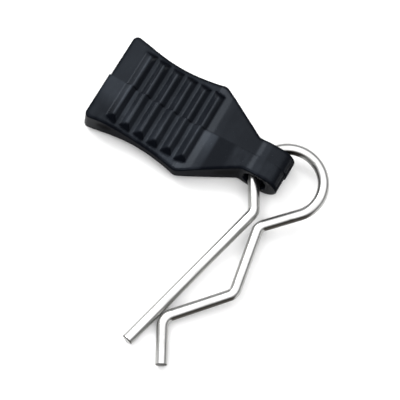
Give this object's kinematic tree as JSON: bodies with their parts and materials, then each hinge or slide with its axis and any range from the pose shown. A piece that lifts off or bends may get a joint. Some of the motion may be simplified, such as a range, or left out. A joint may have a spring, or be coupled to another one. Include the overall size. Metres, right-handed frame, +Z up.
{
  "type": "r clip",
  "caption": "Spring-wire R clip with a straight leg, a wavy leg and a round loop, and a ribbed rubber pull tab that swings on the loop.",
  "frame": {"origin": "on the surface that the clip lies on, under the straight leg's centre line and abreast of the pocket, where the axis of a gripped post crosses the straight leg", "axes": "+X along the straight leg from its tip to the loop, +Y to the side that the tab hangs from in the resting pose, +Z up from the surface"},
  "size_m": [0.0344, 0.0329, 0.0045],
  "materials": {
    "spring_steel": "bright polished spring steel wire with fine drawing lines",
    "tab_rubber": "satin black moulded rubber"
  },
  "bodies": {
    "clip": {"wire_clip": "spring_steel"},
    "tab": {"pull_tab": "tab_rubber"}
  },
  "joints": [
    {"name": "tab_swing", "type": "hinge", "parent": "clip", "child": "tab", "pos_m": [0.01478, 0.00338, 0.00225], "axis": [0.969, 0.247, 0], "range_deg": [-140, 140]}
  ]
}
